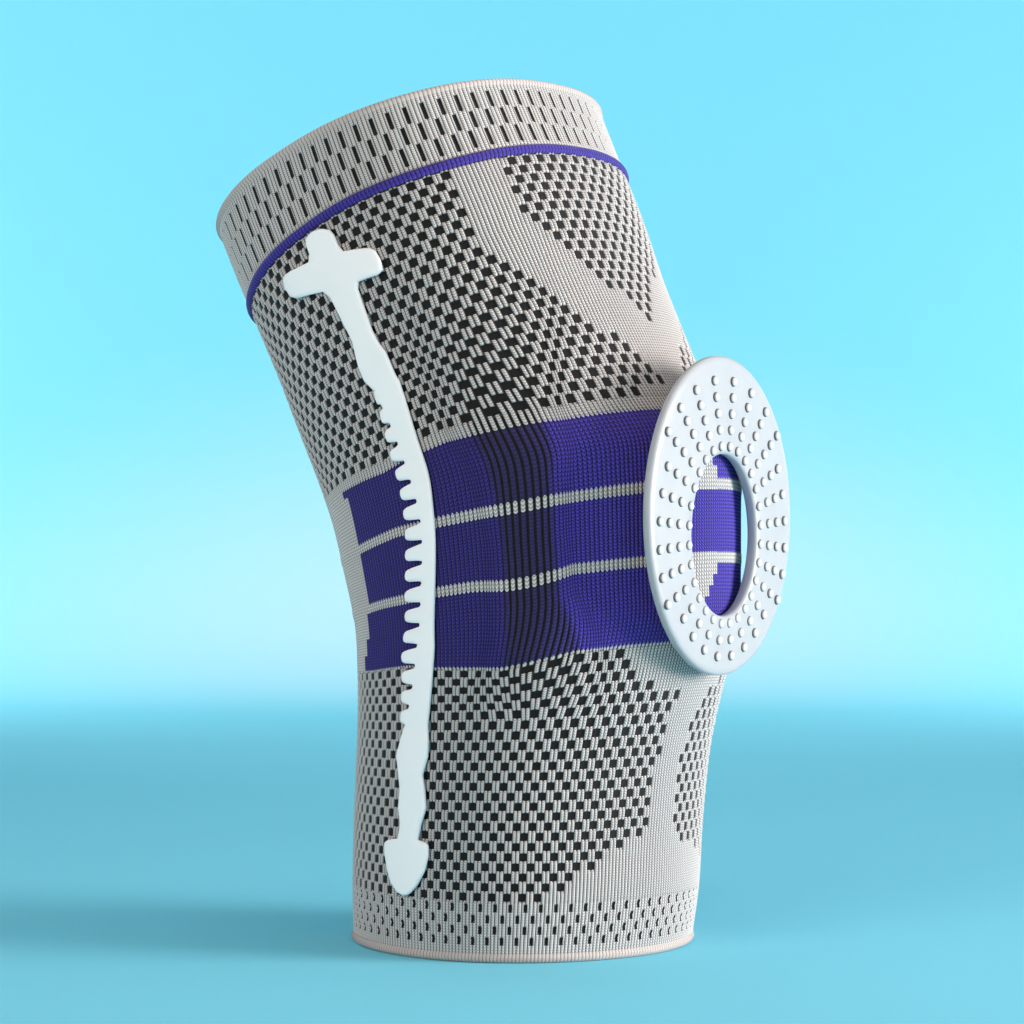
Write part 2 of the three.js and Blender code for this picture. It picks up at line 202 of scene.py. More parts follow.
# In the hollow of the bent knee the wales are pulled apart in a fan, narrow in the middle.
FAN_UP = [0.28, 0.346, 0.41, 0.474, 0.53, 0.60, 0.70, 0.80]
FAN_MIDDLE = [54, 56, 60, 60, 60.5, 60, 55, 52]
FAN_HALF = [12, 9, 6, 5.5, 6, 8, 11, 12]
FAN_PULL = [0.0, 0.55, 0.6, 0.6, 0.6, 0.6, 0.3, 0.0]
FAN_MOST = max(FAN_PULL)
FAN_SPREAD = 2.24
# The courses sag where the fan starts: degrees, then the shift at the lower edge of the
# violet, at the two grey lines and at the upper edge, as shares of the sleeve's length.
SAG = np.array([
    (0, 0.0010, 0.0040, 0, -0.0030), (11, -0.0010, 0.0040, 0, -0.0030),
    (30, -0.0010, 0.0040, 0, -0.0010), (50, -0.0030, 0.0040, 0, 0.0020),
    (60, -0.0130, -0.0040, 0, 0.0070), (64, -0.0155, -0.0050, 0, 0.0085),
    (76, -0.0130, -0.0010, 0.0005, 0.0105), (89, -0.0090, -0.0015, 0.0010, 0.0065),
    (98, -0.0040, -0.0040, 0.0010, 0.0005), (108, -0.0050, -0.0050, -0.0035, 0.0005),
    (118, -0.0063, -0.0075, -0.0081, -0.0005), (125, -0.0060, -0.0080, -0.0090, -0.0025),
    (145, -0.0060, -0.0090, -0.0100, -0.0035), (180, -0.0060, -0.0090, -0.0100, -0.0035),
])
# Heights between which each of the four shifts comes in and goes out again.
SAG_REACH = [([0.29, 0.351, 0.433], [0, 1, 0]), ([0.351, 0.433, 0.51], [0, 1, 0]),
             ([0.433, 0.51, 0.589], [0, 1, 0]), ([0.51, 0.589, 0.65, 0.72], [0, 1, 1, 0])]


def heights(rows):
    """Millimetres above the lower rim for each row number."""
    return np.interp(rows, ROW_HEIGHTS[:, 1], ROW_HEIGHTS[:, 0])


def place(wale, row):
    """Degrees round and share of the length for a wale and a row, with the fan and the sag."""
    degrees = (wale - WALES / 2) * 360 / WALES
    up = heights(row) / SLEEVE_LENGTH
    size = np.abs(degrees)
    half = np.interp(up, FAN_UP, FAN_HALF) * FAN_SPREAD
    t = np.clip((size - np.interp(up, FAN_UP, FAN_MIDDLE)) / half, -1, 1)
    pull = np.interp(up, FAN_UP, FAN_PULL)
    moved = size + half * pull * t * (1 - t**2)**2
    fan = pull / FAN_MOST * (1 - ease(np.abs(t), 0.28, 0.46))
    sagged = up
    for column, (reach, weight) in enumerate(SAG_REACH, 1):
        shift = np.interp(size, SAG[:, 0], SAG[:, column])
        sagged = sagged + shift * np.interp(up, reach, weight)
    return np.sign(degrees) * moved, sagged, fan


print("row height in millimetres:", np.diff(heights(np.arange(71))).round(2).tolist()[:3])

# %% [markdown]
# ## Where the meshes and the violet lie
# The dark checker meshes and the light fields between them are charted as outlines in degrees and height.
# Each cell of the grid then asks in which outline its middle lies. The thigh's charts and the violet are
# the same on both sides of the leg.

# %% Charts of the knit
THIGH_SIDE = [(48, 0.90), (47.5, 0.874), (48.5, 0.83), (48.5, 0.784), (42.5, 0.756), (36, 0.73),
              (29, 0.70), (21, 0.676), (13, 0.652), (8.5, 0.632), (7, 0.618), (15.5, 0.61),
              (24, 0.599), (181, 0.599), (181, 0.90)]
THIGH_FRONT = [(-1, 0.674), (5, 0.702), (12.5, 0.726), (19.5, 0.75), (26, 0.778), (32, 0.804),
               (32.5, 0.848), (32, 0.90), (-1, 0.90)]
CALF_NEAR = [(181, 0.349), (33, 0.349), (30, 0.341), (25, 0.32), (17, 0.31), (5.5, 0.306), (8, 0.29),
             (10, 0.276), (10, 0.25), (11.5, 0.234), (12, 0.194), (12.5, 0.168), (12.5, 0.144),
             (22, 0.138), (32, 0.11), (39.5, 0.096), (42.5, 0.082), (57, 0.072), (84, 0.06),
             (181, 0.06)]
CALF_FAR = [(-11, 0.306), (-7, 0.288), (-2.5, 0.272), (-2, 0.248), (0, 0.21), (0.5, 0.18),
            (0, 0.15), (-1.5, 0.142), (-14, 0.124), (-25, 0.114), (-36, 0.09), (-45, 0.074),
            (-90, 0.06), (-181, 0.06), (-181, 0.349), (-33, 0.349), (-20, 0.32)]
NOTCH_HIGH = [(11, 0.505), (-3.5, 0.505), (-3.5, 0.516), (0, 0.534), (5, 0.556), (11, 0.57)]
NOTCH_LOW = [(12, 0.438), (-2.5, 0.438), (-2, 0.424), (4.5, 0.39), (8, 0.375), (12, 0.366)]
VIOLET_BACK = np.array([(0.35, 126.5), (0.42, 119), (0.45, 117), (0.53, 116.5), (0.59, 119.5)])


def inside(outline, x, y):
    """Which of the points lie in an outline."""
    hit = np.zeros(np.shape(x), bool)
    for (ax, ay), (bx, by) in zip(outline, outline[1:] + outline[:1]):
        if ay != by:
            crosses = (ay > y) != (by > y)
            hit ^= crosses & (x < (bx - ax) * (y - ay) / (by - ay) + ax)
    return hit


CELLS = WALES // 2
cell_wales = (np.arange(CELLS) + 0.5) * 2 - WALES / 2
cell_degrees = cell_wales[:, None] * 360 / WALES + np.zeros((1, BODY_TOP))
cell_up = heights(np.arange(BODY_TOP) + 0.5)[None, :] / SLEEVE_LENGTH + np.zeros((CELLS, 1))
mesh_cells = (inside(THIGH_SIDE, np.abs(cell_degrees), cell_up)
              | inside(THIGH_FRONT, np.abs(cell_degrees), cell_up)
              | inside(CALF_NEAR, cell_degrees, cell_up)
              | inside(CALF_FAR, cell_degrees, cell_up))
violet_cells = ((np.abs(cell_degrees) < np.interp(cell_up, VIOLET_BACK[:, 0], VIOLET_BACK[:, 1]))
                & ~inside(NOTCH_HIGH, cell_degrees, cell_up)
                & ~inside(NOTCH_LOW, cell_degrees, cell_up))
print("mesh cells:", int(mesh_cells.sum()), "of", mesh_cells.size)


def cell_share(cells, wale, row):
    """1 in a chosen cell, 0 outside, a half on the edge between the two."""
    total = 0
    for dw in (-0.01, 0.01):
        for dr in (-0.01, 0.01):
            column = np.floor((wale + dw) / 2).astype(int) % CELLS
            line = np.clip(np.floor(row + dr), 0, BODY_TOP - 1).astype(int)
            total = total + cells[column, line]
    return total / 4


# %% [markdown]
# ## Relief of the knit
# A wale is a rounded rib with a groove on each side. In the meshes the black cells are a
# thinner net of elastane that lies behind the ribs, so they sink in. The relief is real
# geometry with four points across a wale and three along a row. The finer loops inside a
# rib are too small for that and come from the material.

# %% Relief
RIB_GROOVE = 0.32
RIB_CREST = 0.10
CELL_SINK = 0.62
LINE_RISE = 0.18


def relief(wale, row, fan, shown):
    """Height of the knit's outer face in millimetres, from the wale and the row."""
    across = np.abs((wale % 1) - 0.5) * 2
    rib = RIB_CREST - (RIB_CREST + RIB_GROOVE * (1 + fan)) * across**2
    grey = (np.floor(wale / 2 + 0.001) + np.floor(row + 0.001)) % 2
    sunk = (grey < 0.5) & (cell_share(mesh_cells, wale, row) > 0.4)
    edge = (np.abs(wale % 2) < 0.01) & (cell_share(mesh_cells, wale, row) > 0.4)
    line = np.zeros(np.shape(row))
    for start in LINE_ROWS:
        line = line + LINE_RISE * ((row > start - 0.1) & (row < start + 1.1))
    return np.where(shown, np.where(sunk | edge, -CELL_SINK, rib + line), 0)


# %% [markdown]
# ## Rolling a tube of knit
# A flat grid is added, one column of faces for each quarter of a wale, and is rolled into a
# tube: its rows go up the outside of the wall, over the edge and down the inside. Then the
# two seams are merged, which leaves one closed wall. The map that the grid had before it was
# rolled, wale across and row up, is kept as the piece's own map for the material.

# %% Tube maker
def alone(piece):
    """Makes the piece the only selected one."""
    bpy.ops.object.select_all(action="DESELECT")
    piece.select_set(True)
    bpy.context.view_layer.objects.active = piece


def new_grid(name, columns, lines):
    """A flat grid, and the column and the line that each of its points stands in."""
    bpy.ops.object.select_all(action="DESELECT")
    bpy.ops.mesh.primitive_grid_add(x_subdivisions=columns, y_subdivisions=lines, size=2)
    piece = bpy.context.active_object
    piece.name = name
    piece.data.name = name
    flat = np.empty(len(piece.data.vertices) * 3)
    piece.data.vertices.foreach_get("co", flat)
    flat = flat.reshape(-1, 3)
    column = np.rint((flat[:, 0] + 1) / 2 * columns).astype(int)
    line = np.rint((flat[:, 1] + 1) / 2 * lines).astype(int)
    return piece, column, line


def move_points(piece, points):
    """Puts each point of a piece in its place, in metres."""
    piece.data.vertices.foreach_set("co", points.astype(np.float32).ravel())


def keep_map(piece, wale, row):
    """Keeps the flat grid, wale across and row up, as the piece's only map."""
    mesh = piece.data
    corners = np.empty(len(mesh.loops), int)
    mesh.loops.foreach_get("vertex_index", corners)
    for layer in list(mesh.uv_layers):
        mesh.uv_layers.remove(layer)
    knit_map = mesh.uv_layers.new(name="knit")
    knit_map.data.foreach_set("uv", np.stack([wale, row], -1)[corners].astype(np.float32).ravel())


def add_points(piece, name, values):
    """One number for each point of a piece."""
    layer = piece.data.attributes.new(name, "FLOAT", "POINT")
    layer.data.foreach_set("value", np.asarray(values, np.float32))


def close_up(piece, merge=True):
    """Merges the seams, turns the faces outwards and shades them smooth."""
    alone(piece)
    bpy.ops.object.mode_set(mode="EDIT")
    bpy.ops.mesh.select_all(action="SELECT")
    if merge:
        bpy.ops.mesh.remove_doubles(threshold=1e-6)
    bpy.ops.mesh.normals_make_consistent(inside=False)
    bpy.ops.object.mode_set(mode="OBJECT")
    bpy.ops.object.shade_smooth()
    print(piece.name, len(piece.data.polygons), "faces")


COLUMNS = WALES * SAMPLES


def roll_tube(name, wall):
    """Rolls a closed wall. Each item of wall is row, out in millimetres, and 1 if relief is on."""
    piece, column, line = new_grid(name, COLUMNS, len(wall))
    row, out, shown = np.array(wall + wall[:1], float)[line].T
    wale = column * WALES / COLUMNS
    degrees, up, fan = place(wale, row)
    lift = relief(wale, row, fan, shown > 0.5) if name.startswith("knit") else 0
    move_points(piece, on_sleeve(degrees, up, out + lift - dent_at(degrees, up)))
    keep_map(piece, wale, row)
    on = (shown > 0.5) & (row >= BODY_LOW) & (row <= BODY_TOP)
    add_points(piece, "mesh", np.where(on, cell_share(mesh_cells, wale, row), 0))
    add_points(piece, "violet", np.where(on, cell_share(violet_cells, wale, row), 0))
    add_points(piece, "fan", np.where(on, fan, 0))
    close_up(piece)
    return piece


# %% [markdown]
# ## The knit body
# The real body is one tube. Here it is cut in three at whole rows, so that each mesh stays
# light: the calf up to the violet, the knee, and the thigh up to the welt.

# %% Calf, knee and thigh
def body_wall(low, high):
    """Up the outside with three lines to a row, and down the inside."""
    rows = [row + share for row in range(low, high) for share in (0.15, 0.5, 0.85)]
    outer = [(r, 0, 1) for r in [low] + rows + [high]]
    return outer + [(r, -KNIT, 0) for r in np.linspace(high, low, 5)]


knit_calf = roll_tube("knit_calf", body_wall(BODY_LOW, KNEE_ROW))
knit_knee = roll_tube("knit_knee", body_wall(KNEE_ROW, THIGH_ROW))
knit_thigh = roll_tube("knit_thigh", body_wall(THIGH_ROW, BODY_TOP))

# %% [markdown]
# ## The cuffs
# Each cuff is a doubled band of the same knit that ends in a soft rolled rim. Short slots
# stand in staggered rows, each one wale wide, where the knitter skipped a loop. The slots
# sink in as the black cells do.

# %% Cuffs
UPPER_LOW = 247.95
LOWER_HIGH = 19.8
RIM = 3.2
RIM_RELIEF = 0.7
RIM_RIB = 0.08
UPPER_SLOTS = dict(start=249.3, pitch=7.6, count=3, half=0.45)
LOWER_SLOTS = dict(start=5.3, pitch=3.62, count=4, half=0.37)


def rows_at(height):
    """Row numbers for millimetres above the lower rim."""
    return np.interp(height, ROW_HEIGHTS[:, 0], ROW_HEIGHTS[:, 1])


def slot_relief(height, wale, slots):
    """Sinks the slots of a cuff and rounds its ribs."""
    count = (height - slots["start"]) / slots["pitch"]
    line = np.floor(count)
    shift = (wale + 2 * (line % 2)) % 4 - 2
    across = np.abs((wale % 1) - 0.5) * 2
    rib = RIB_CREST - (RIB_CREST + 0.7 * RIB_GROOVE) * across**2
    along_slot = np.abs(count - line - 0.5) < slots["half"]
    sunk = (np.abs(shift) < 0.7) & along_slot & (line >= 0) & (line < slots["count"])
    return np.where(sunk, -CELL_SINK * np.clip((0.7 - np.abs(shift)) * 3, 0, 1), rib)


def rim_roll(at, away):
    """The rolled rim round a height, away +1 if the sleeve ends above it."""
    turn = np.radians(np.linspace(-55, 205, 12))
    high = at + away * RIM / 2 * np.sin(turn)
    out = (RIM_RELIEF - CUFF) / 2 + (RIM_RELIEF + CUFF) / 2 * np.cos(turn)
    return list(zip(high, out))


def cuff_tube(name, slots, low, high, rim_at, away):
    """A cuff from low to high with its rim, away +1 if the sleeve ends above it."""
    edges = [slots["start"] + slots["pitch"] * (k + share)
             for k in range(slots["count"]) for share in (0.03, 0.08, 0.5, 0.92, 0.97)]
    outer = [(h, 0, 1) for h in np.sort([low, *edges, high])]
    inner = [(h, -CUFF, 0) for h in np.linspace(high, low, 5)]
    rim = [(h, out, 0) for h, out in rim_roll(rim_at, away)]
    wall = outer + rim + inner if away > 0 else outer + inner + rim[::-1]
    piece, column, line = new_grid(name, COLUMNS, len(wall))
    height, out, shown = np.array(wall + wall[:1], float)[line].T
    wale = column * WALES / COLUMNS
    degrees = (wale - WALES / 2) * 360 / WALES
    lift = np.where(shown > 0.5, slot_relief(height, wale, slots), 0)
    ribbed = np.cos(wale * 4 * np.pi) * RIM_RIB * (shown < 0.5) * (out > -CUFF + 0.1)
    move_points(piece, on_sleeve(degrees, height / SLEEVE_LENGTH, out + lift + ribbed))
    keep_map(piece, wale, (height - slots["start"]) / slots["pitch"])
    add_points(piece, "outer", shown)
    close_up(piece)
    return piece


cuff_upper = cuff_tube("cuff_upper", UPPER_SLOTS, UPPER_LOW, SLEEVE_LENGTH - RIM,
                       SLEEVE_LENGTH - RIM / 2, 1)
cuff_lower = cuff_tube("cuff_lower", LOWER_SLOTS, RIM, LOWER_HIGH, RIM / 2, -1)

# %% [markdown]
# ## The welt
# A violet roll of two courses runs round the thigh under the upper cuff. It stands out of
# the knit and is ribbed across, because each wale bulges.

# %% Welt
WELT_LOW = 244.8
WELT_HEIGHT = 3.1
WELT_RELIEF = 1.1


def welt_wall():
    """Over the roll from its lower to its upper edge, and down the inside."""
    middle = WELT_LOW + WELT_HEIGHT / 2
    roll = [(rows_at(middle + WELT_HEIGHT / 2 * math.sin(t)), WELT_RELIEF * math.cos(t), 0)
            for t in np.radians(np.linspace(-80, 80, 9))]
    inner = [(rows_at(h), -KNIT, 0) for h in (WELT_LOW + WELT_HEIGHT, WELT_LOW)]
    return roll + inner


violet_roll = roll_tube("violet_roll", welt_wall())

# %% [markdown]
# ## The silicone ring
# The ring is cast in one piece: a flat oval band with a thicker lip round its hole and small
# domes in spokes all over its face. A torus is the right start, because it is closed both
# ways. Its points are moved on to the ring's section.

# %% Ring
RING_WIDTH, RING_HEIGHT = 87, 104.5
HOLE_WIDTH, HOLE_HEIGHT, HOLE_DROP = 39, 53, 6.3
EDGE_THICK, LIP_THICK = 3.2, 4.0
ring_low, ring_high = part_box("patella_ring")
RING_MIDDLE = (ring_low.z + ring_high.z) / 2 / MM
RING_BACK = ring_high.y / MM
RING_WALL = np.array([  # share from the hole to the edge, height over the back
    (0.045, 0.0), (0.015, 0.25), (0.0, 0.9), (0.0, 2.0), (0.0, 3.0), (0.015, 3.6), (0.045, 3.9),
    (0.09, 4.0), (0.15, 4.0), (0.21, 3.9), (0.30, 3.78), (0.45, 3.62), (0.60, 3.48), (0.75, 3.36),
    (0.88, 3.24), (0.945, 3.12), (0.98, 2.8), (1.0, 2.2), (1.0, 1.0), (0.985, 0.35), (0.955, 0.0),
    (0.75, 0.0), (0.5, 0.0), (0.25, 0.0),
])


def ring_point(turn, across, high):
    """A point of the ring in millimetres."""
    inner = np.stack([HOLE_WIDTH / 2 * np.cos(turn), HOLE_HEIGHT / 2 * np.sin(turn) - HOLE_DROP], -1)
    outer = np.stack([RING_WIDTH / 2 * np.cos(turn), RING_HEIGHT / 2 * np.sin(turn)], -1)
    flat = inner + (outer - inner) * np.asarray(across)[..., None]
    return np.stack([flat[..., 0], RING_BACK - high, RING_MIDDLE + flat[..., 1]], -1)


RING_TURNS = 192
bpy.ops.object.select_all(action="DESELECT")
bpy.ops.mesh.primitive_torus_add(major_segments=RING_TURNS, minor_segments=len(RING_WALL),
                                 major_radius=1, minor_radius=0.25)
silicone_ring = bpy.context.active_object
silicone_ring.name = "silicone_ring"
silicone_ring.data.name = "silicone_ring"
number = np.arange(len(silicone_ring.data.vertices))
turns = 2 * np.pi * (number // len(RING_WALL)) / RING_TURNS
section = RING_WALL[number % len(RING_WALL)]
move_points(silicone_ring, ring_point(turns, section[:, 0], section[:, 1]) * MM)
close_up(silicone_ring, merge=False)
print("ring back at", round(RING_BACK, 2), "middle at", round(RING_MIDDLE, 2))

# %% [markdown]
# ## The domes of the ring
# The domes stand in spokes square to the edge of the hole. One dome is a sphere cut at its
# foot, with the foot drawn down and out into the ring. It is copied to every place.

# %% Domes
NUB_DIAMETER, NUB_HEIGHT, NUB_SPACING, NUB_MARGIN = 3.4, 1.5, 5.4, 2.6
NUB_SINK, FOOT_DEPTH, FOOT_SPREAD = 0.1, 0.55, 1.15
bpy.ops.object.select_all(action="DESELECT")
bpy.ops.mesh.primitive_uv_sphere_add(segments=16, ring_count=10, radius=NUB_DIAMETER / 2 * MM)
dome = bpy.context.active_object
bpy.ops.object.mode_set(mode="EDIT")
bpy.ops.mesh.select_all(action="SELECT")
bpy.ops.mesh.bisect(plane_co=(0, 0, NUB_SINK * MM), plane_no=(0, 0, 1), clear_inner=True)
bpy.ops.mesh.select_all(action="DESELECT")
bpy.ops.mesh.select_non_manifold()
bpy.ops.mesh.extrude_region_move(TRANSFORM_OT_translate={"value": (0, 0, -FOOT_DEPTH * MM)})
bpy.ops.transform.resize(value=(FOOT_SPREAD, FOOT_SPREAD, 1))
bpy.ops.mesh.fill()
bpy.ops.object.mode_set(mode="OBJECT")
dome_points = np.array([v.co for v in dome.data.vertices])
tall = dome_points[:, 2]
dome_points[:, 2] = np.where(tall > 0, tall * NUB_HEIGHT / (NUB_DIAMETER / 2), tall)
dome_rise = dome_points[:, 2] / (NUB_HEIGHT * MM)
dome_points = np.stack([dome_points[:, 0], -dome_points[:, 2], dome_points[:, 1]], -1)

hole_girth = math.pi * (HOLE_WIDTH + HOLE_HEIGHT) / 2
spokes = 4 * round(hole_girth / NUB_SPACING / 4)
nub_places = []
for i in range(spokes):
    turn = 2 * math.pi * (i + 0.5) / spokes
    edge = np.array([HOLE_WIDTH / 2 * math.cos(turn), HOLE_HEIGHT / 2 * math.sin(turn)])
    out = np.array([edge[0] / HOLE_WIDTH**2, edge[1] / HOLE_HEIGHT**2])
    out = out / np.linalg.norm(out)
    for step in np.arange(NUB_MARGIN, RING_HEIGHT, NUB_SPACING):
        x, z = edge + out * step - (0, HOLE_DROP)
        if (x / (RING_WIDTH / 2 - NUB_MARGIN))**2 + (z / (RING_HEIGHT / 2 - NUB_MARGIN))**2 > 1:
            break
        reach = math.hypot(x / (RING_WIDTH / 2), z / (RING_HEIGHT / 2))
        share = np.clip((reach - 0.15) / 0.79, 0, 1)
        nub_places.append((x, LIP_THICK + (EDGE_THICK - LIP_THICK) * share, z))

nubs = []
for x, high, z in nub_places:
    nub = dome.copy()
    nub.data = dome.data.copy()
    bpy.context.scene.collection.objects.link(nub)
    middle = np.array([x, RING_BACK - high + NUB_SINK, RING_MIDDLE + z]) * MM
    move_points(nub, dome_points + middle)
    nub.data.update()
    nubs.append(nub)
bpy.data.objects.remove(dome)
bpy.ops.object.select_all(action="DESELECT")
for nub in nubs:
    nub.select_set(True)
bpy.context.view_layer.objects.active = nubs[0]
bpy.ops.object.join()
ring_domes = bpy.context.active_object
ring_domes.name = "ring_domes"
ring_domes.data.name = "ring_domes"
add_points(ring_domes, "dome", np.tile(dome_rise, len(nub_places)))
close_up(ring_domes, merge=False)
print("domes:", len(nub_places))

# %% [markdown]
# ## The side stays
# A stay is moulded in one piece of white plastic: a cross head, a neck, a spine with a row of
# teeth along its rear edge, and a spear tip. Its outline is a table of widths. Every point of
# its face asks how far it is from the outline, and the edge is rounded over that distance.

# %% Stays
STAY_LENGTH = 222.5
STAY_THICK = 1.8
STAY_GAP = 0.4
STAY_MIDDLE = STAY_GAP + STAY_THICK / 2
STAY_ROUND = 1.1
STAY_REACH = 24
HEAD_SKEW = 0.24
TOOTH_COUNT = 17
STAY_LINE = np.array([(0.07, 98), (0.15, 96.8), (0.25, 95.2), (0.33, 91.8), (0.42, 88.8), (0.50, 86.5),
                      (0.60, 87), (0.70, 88.5), (0.90, 89.5)])
STAY_TAIL = [(0.000, 0.03, 0.03), (0.004, 0.13, 0.12), (0.017, 0.27, 0.24), (0.038, 0.37, 0.35),
             (0.060, 0.44, 0.40), (0.076, 0.46, 0.39), (0.081, 0.38, 0.34), (0.084, 0.18, 0.20),
             (0.106, 0.15, 0.23), (0.131, 0.21, 0.30), (0.157, 0.20, 0.26), (0.180, 0.25, 0.20),
             (0.207, 0.32, 0.26), (0.232, 0.27, 0.24), (0.250, 0.23, 0.20)]
STAY_TEETH = np.array([(0.261, 0.32, 0.22, 0.19), (0.316, 0.38, 0.18, 0.16), (0.415, 0.46, 0.14, 0.13),
                       (0.498, 0.45, 0.12, 0.12), (0.559, 0.39, 0.10, 0.15), (0.617, 0.36, 0.13, 0.20),
                       (0.677, 0.31, 0.15, 0.20), (0.740, 0.21, 0.17, 0.26)])
STAY_HEAD = [(0.755, 0.17, 0.26), (0.777, 0.26, 0.25), (0.799, 0.26, 0.25), (0.817, 0.23, 0.20),
             (0.836, 0.19, 0.18), (0.868, 0.22, 0.20), (0.900, 0.25, 0.22), (0.911, 0.33, 0.27),
             (0.914, 0.80, 0.58), (0.920, 0.89, 0.68), (0.935, 0.93, 0.71), (0.948, 0.90, 0.69),
             (0.955, 0.82, 0.62), (0.957, 0.36, 0.24), (0.968, 0.29, 0.20), (0.985, 0.28, 0.20),
             (0.993, 0.24, 0.17), (0.998, 0.16, 0.08), (1.000, 0.10, 0.02)]
STAY_FOOT = WELT_LOW - 0.3 - HEAD_SKEW * STAY_REACH * 0.27 - STAY_LENGTH

# Half a tooth: how far from its middle, as a share of the pitch, and how far from root to tip.
TOOTH_HALF = [(0.22, 0.95), (0.31, 0.80), (0.35, 0.55), (0.37, 0.12), (0.42, 0.02)]
TOOTH = [(-share, reach) for share, reach in TOOTH_HALF[::-1]] + [(0, 1)] + TOOTH_HALF
TOOTH_SHIFT = 0.005
ROOT_CUT = 0.02
tooth_pitch = (STAY_TEETH[-1, 0] - STAY_TEETH[0, 0]) / (TOOTH_COUNT - 1)


def spine_row(number, reach):
    """Height, rear width and front width of the spine, number teeth up and out by reach."""
    up = STAY_TEETH[0, 0] + TOOTH_SHIFT + number * tooth_pitch
    tip, root, front_share = (float(along(STAY_TEETH, c, np.array(up))) for c in (1, 2, 3))
    root = root - ROOT_CUT
    return up, root + (tip - root) * reach, front_share


stay_rows = list(STAY_TAIL)
for tooth in range(TOOTH_COUNT):
    stay_rows += [spine_row(tooth + share, reach) for share, reach in TOOTH]
    if tooth < TOOTH_COUNT - 1:
        stay_rows.append(spine_row(tooth + 0.5, 0))
stay_rows = np.array(stay_rows + STAY_HEAD)
STAY_LINES = 560
STAY_HALF = 11
fine_up = np.linspace(0, 1, STAY_LINES + 1)
rear = np.interp(fine_up, stay_rows[:, 0], stay_rows[:, 1]) * STAY_REACH
fore = np.interp(fine_up, stay_rows[:, 0], stay_rows[:, 2]) * STAY_REACH


def stay_points(up, across, out, side):
    """Points on the sleeve for a stay: across in millimetres from its line."""
    skew = HEAD_SKEW * ease(up, 0.85, 0.92)
    share = (STAY_FOOT + STAY_LENGTH * up - skew * across) / SLEEVE_LENGTH
    degrees = along(STAY_LINE, 1, share)
    ahead = on_sleeve(degrees + 0.5, share, STAY_MIDDLE)
    behind = on_sleeve(degrees - 0.5, share, STAY_MIDDLE)
    one_degree = np.linalg.norm(ahead - behind, axis=-1)
    points = on_sleeve(degrees - across * MM / one_degree, share, out)
    points[..., 0] *= side
    return points


def make_stay(name, side):
    """A closed stay: each line of its grid goes over the outer face and back under it."""
    loop = 4 * STAY_HALF
    piece, step, line = new_grid(name, loop, STAY_LINES)
    step = step % loop
    face = np.where(step <= 2 * STAY_HALF, 1, -1)
    share = 0.5 - 0.5 * np.cos(np.pi * np.where(face > 0, step, loop - step) / (2 * STAY_HALF))
    across = -rear[line] + (rear[line] + fore[line]) * share
    here = np.stack([fine_up[line] * STAY_LENGTH, across], -1)
    near = np.full(len(here), 1e9)
    for width in (-rear, fore):
        edge = np.stack([fine_up * STAY_LENGTH, width], -1)
        for a, b in zip(edge[:-1], edge[1:]):
            close = np.abs(here[:, 0] - a[0]) < 2
            p = here[close] - a
            t = np.clip(p @ (b - a) / ((b - a) @ (b - a)), 0, 1)
            near[close] = np.minimum(near[close], np.linalg.norm(p - t[:, None] * (b - a), axis=-1))
    near = np.minimum(near, np.minimum(here[:, 0], STAY_LENGTH - here[:, 0]))
    bow = np.clip(near / STAY_ROUND, 0, 1)
    half = STAY_THICK / 2 * np.sqrt(1 - (1 - bow)**2)
    move_points(piece, stay_points(fine_up[line], across, STAY_MIDDLE + face * half, side))
    close_up(piece)
    return piece


stay_left = make_stay("stay_left", 1)
stay_right = make_stay("stay_right", -1)

# %% [markdown]
# ## Node helpers
# Colours are picked as sRGB hex values, as on a paint card, and one function turns them into
# the linear values that the shaders want. A second one adds a node and links it.

# %% Helpers for materials
def colour(hex_value):
    """Linear colour from an sRGB hex value."""
    parts = [int(hex_value[i:i + 2], 16) / 255 for i in (1, 3, 5)]
    return tuple(p / 12.92 if p <= 0.04045 else ((p + 0.055) / 1.055)**2.4 for p in parts) + (1,)


def first_output(value):
    """A node stands for its first output in use."""
    if isinstance(value, bpy.types.Node):
        return next(o for o in value.outputs if o.enabled)
    return value


def put(tree, kind, inputs=(), **settings):
    """Adds a node with its settings. An input is a value, a socket or another node."""
    made = tree.nodes.new(kind)
    for name, value in settings.items():
        setattr(made, name, value)
    for slot, value in (inputs.items() if isinstance(inputs, dict) else enumerate(inputs)):
        value = first_output(value)
        if isinstance(value, bpy.types.NodeSocket):
            tree.links.new(value, made.inputs[slot])
        else:
            made.inputs[slot].default_value = value
    return made


def new_material(name):
    """An empty material with its Principled shader."""
    material = bpy.data.materials.new(name)
    material.use_nodes = True
    tree = material.node_tree
    shader = tree.nodes["Principled BSDF"]
    return material, tree, shader


MATH = "ShaderNodeMath"
MIX = "ShaderNodeMix"
RANGE = "ShaderNodeMapRange"

# %% [markdown]
# ## The yarn
# The body is knitted from textured grey nylon over black covered elastane, with violet nylon in the bands.
# Yarn is matt, a little hairy, and each rib shows its loops as slanted strokes to both sides, painted
# lighter as painted highlight with painted shade between them. The groove between two ribs is painted
# dark, as painted shade, because no light reaches into it.

# %% Stitches in a material
def stitches(tree, wale, course):
    """Stroke of the loops, used for painted highlight and bump, and groove between the ribs, used for
    painted shade, both 0 to 1, from the knit's own map.
    """
    part = put(tree, MATH, (wale,), operation="FRACT")
    centred = put(tree, MATH, (part, 2, -1), operation="MULTIPLY_ADD")
    across = put(tree, MATH, (centred,), operation="ABSOLUTE")
    slant = put(tree, MATH, (across, -0.75, course), operation="MULTIPLY_ADD")
    phase = put(tree, MATH, (slant,), operation="FRACT")
    wave = put(tree, MATH, (phase, 2, -1), operation="MULTIPLY_ADD")
    stroke = put(tree, MATH, (wave,), operation="ABSOLUTE")
    groove = put(tree, RANGE, {"Value": across, "From Min": 0.55, "From Max": 0.95},
                 interpolation_type="SMOOTHSTEP")
    return across, stroke, groove


